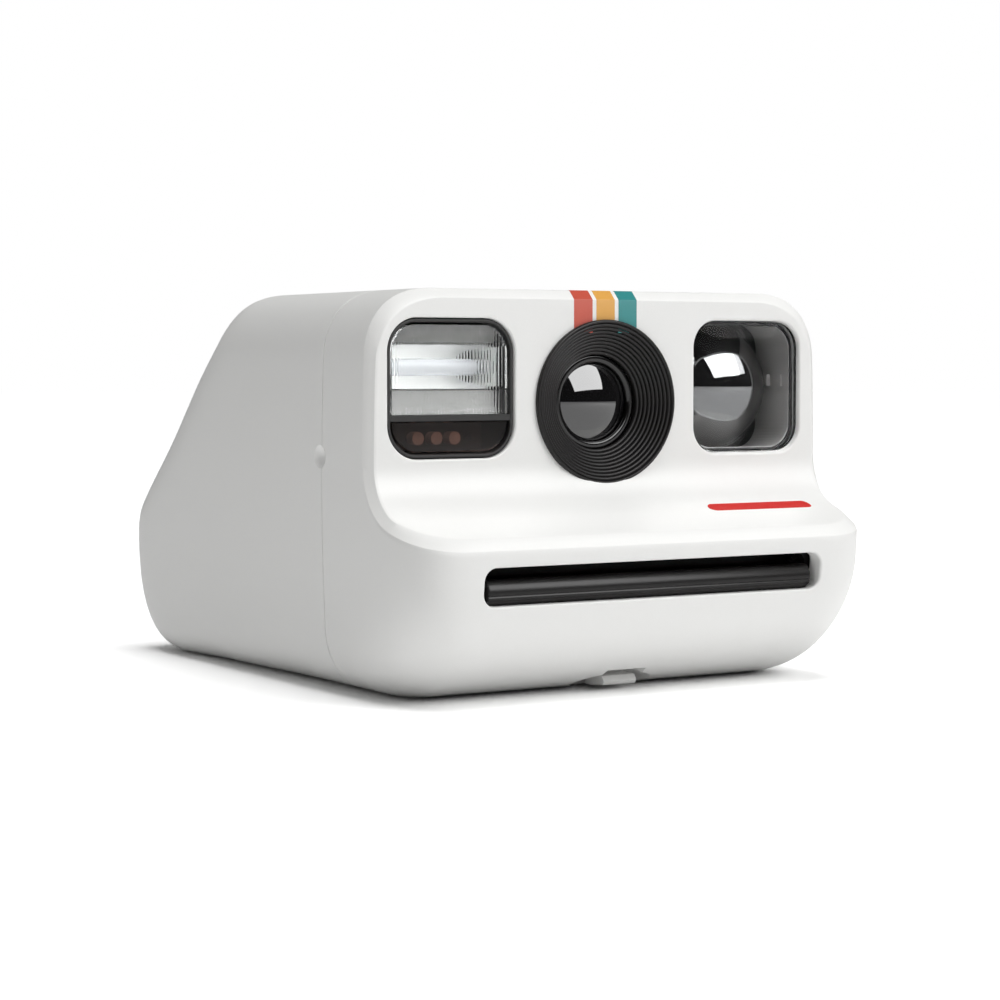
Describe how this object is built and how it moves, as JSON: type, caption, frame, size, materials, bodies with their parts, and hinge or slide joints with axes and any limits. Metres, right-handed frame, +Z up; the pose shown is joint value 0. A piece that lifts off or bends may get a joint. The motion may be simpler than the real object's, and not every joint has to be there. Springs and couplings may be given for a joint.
{
  "type": "instant camera",
  "caption": "Compact white instant film camera with a round lens, flash and finder windows, a front film slot and a hinged film door underneath.",
  "frame": {"origin": "on the surface that the camera stands on, under the middle of its box", "axes": "+Z up, the lens looks along -Y, +X to the right seen from the front"},
  "size_m": [0.0838, 0.105, 0.0615],
  "materials": {
    "shell_abs": "satin moulded ABS",
    "black_abs": "satin moulded ABS",
    "inner_black": "flat black moulded, light-absorbing",
    "red_abs": "satin moulded ABS",
    "ink_clay": "printed",
    "ink_sand": "printed",
    "ink_teal": "printed",
    "ink_red": "printed",
    "black_sheet": "rolled glossy sheet",
    "clear_plastic": "clear moulded acrylic",
    "lens_glass": "coated optical glass",
    "smoked_plastic": "smoked polished",
    "sensor_lens": "polished",
    "reflector": "vacuum-coated",
    "mirror": "front-coated",
    "steel": "rolled",
    "nylon": "moulded",
    "foam": "foam",
    "circuit_board": "solder mask",
    "foil": "sleeved"
  },
  "bodies": {
    "camera_body": {"front_shell": "shell_abs", "rear_shell": "shell_abs", "stripe_clay": "ink_clay", "stripe_sand": "ink_sand", "stripe_teal": "ink_teal", "shelf_dash": "ink_red", "door_hinge_pin": "steel", "lens_ring": "black_abs", "lens_barrel": "black_abs", "front_lens": "lens_glass", "rear_lens": "lens_glass", "shutter_housing": "inner_black", "flash_bezel": "black_abs", "flash_window": "clear_plastic", "sensor_window": "smoked_plastic", "flash_reflector": "reflector", "flash_tube": "clear_plastic", "flash_electrode_left": "steel", "flash_electrode_right": "steel", "sensor_board": "circuit_board", "light_sensor": "sensor_lens", "distance_sensor": "sensor_lens", "flash_sensor": "sensor_lens", "viewfinder_window": "clear_plastic", "viewfinder_tunnel": "inner_black", "viewfinder_lens": "clear_plastic", "eyepiece_lens": "clear_plastic", "eyepiece_frame": "black_abs", "counter_window": "smoked_plastic", "counter_display": "circuit_board", "usb_socket": "steel", "eject_motor": "steel", "roller_bracket_left": "steel", "roller_bracket_right": "steel", "slot_liner": "black_abs", "film_chamber": "inner_black", "chamber_screw_1": "steel", "chamber_screw_2": "steel", "chamber_screw_3": "steel", "chamber_screw_4": "steel", "light_cone": "inner_black", "taking_mirror": "mirror", "main_board": "circuit_board", "battery": "foil", "flash_capacitor": "foil"},
    "door": {"film_door": "shell_abs", "door_light_seal": "foam"},
    "latch": {"door_latch": "shell_abs"},
    "shutter_key": {"shutter_button": "red_abs"},
    "flash_key": {"flash_button": "shell_abs"},
    "power_key": {"power_button": "shell_abs"},
    "shield": {"film_shield": "black_sheet"},
    "upper_roll": {"upper_roller": "steel", "upper_roller_gear": "nylon"},
    "lower_roll": {"lower_roller": "steel", "lower_roller_gear": "nylon"},
    "idler": {"idler_gear": "nylon"},
    "pinion": {"motor_pinion": "steel"},
    "pick": {"pick_arm": "steel"},
    "blade": {"shutter_blade": "steel"}
  },
  "joints": [
    {"name": "film_door_hinge", "type": "hinge", "parent": "camera_body", "child": "door", "pos_m": [0, 0.0366, 0.0016], "axis": [1, 0, 0], "range_deg": [0, 80]},
    {"name": "latch_slide", "type": "slide", "parent": "door", "child": "latch", "axis": [0, 1, 0], "range_m": [0, 0.0013], "stiffness_N_per_m": 120},
    {"name": "shutter_press", "type": "slide", "parent": "camera_body", "child": "shutter_key", "axis": [0, 0, -1], "range_m": [0, 0.0005], "stiffness_N_per_m": 400, "springref_m": -0.0002},
    {"name": "flash_press", "type": "slide", "parent": "camera_body", "child": "flash_key", "axis": [0, 0, -1], "range_m": [0, 0.0005], "stiffness_N_per_m": 300, "springref_m": -0.0002},
    {"name": "power_press", "type": "slide", "parent": "camera_body", "child": "power_key", "axis": [0, -0.7071, -0.7071], "range_m": [0, 0.0004], "stiffness_N_per_m": 300, "springref_m": -0.0002},
    {"name": "shield_tip", "type": "hinge", "parent": "camera_body", "child": "shield", "pos_m": [0, -0.0465, 0.0196], "axis": [-1, 0, 0], "range_deg": [0, 20], "stiffness_Nm_per_rad": 0.004, "springref_deg": -11.46},
    {"name": "upper_roll_spin", "type": "hinge", "parent": "camera_body", "child": "upper_roll", "pos_m": [0, -0.041, 0.0189], "axis": [1, 0, 0], "continuous": true},
    {"name": "lower_roll_spin", "type": "hinge", "parent": "camera_body", "child": "lower_roll", "pos_m": [0, -0.041, 0.0129], "axis": [1, 0, 0], "continuous": true},
    {"name": "idler_spin", "type": "hinge", "parent": "camera_body", "child": "idler", "pos_m": [-0.0346, -0.03375, 0.02228], "axis": [1, 0, 0], "continuous": true},
    {"name": "pinion_spin", "type": "hinge", "parent": "camera_body", "child": "pinion", "pos_m": [-0.0346, -0.02695, 0.02545], "axis": [1, 0, 0], "continuous": true},
    {"name": "pick_slide", "type": "slide", "parent": "camera_body", "child": "pick", "axis": [0, -1, 0], "range_m": [0, 0.004], "stiffness_N_per_m": 30, "springref_m": -0.001},
    {"name": "blade_swing", "type": "hinge", "parent": "camera_body", "child": "blade", "pos_m": [0.003, -0.0196, 0.0505], "axis": [0, -1, 0], "range_deg": [0, 75], "stiffness_Nm_per_rad": 0.0004, "springref_deg": -8.59}
  ],
  "couplings": [
    {"joint": "lower_roll_spin", "follows": "upper_roll_spin", "ratio": -1},
    {"joint": "idler_spin", "follows": "upper_roll_spin", "ratio": -0.6},
    {"joint": "pinion_spin", "follows": "upper_roll_spin", "ratio": 1.2}
  ]
}
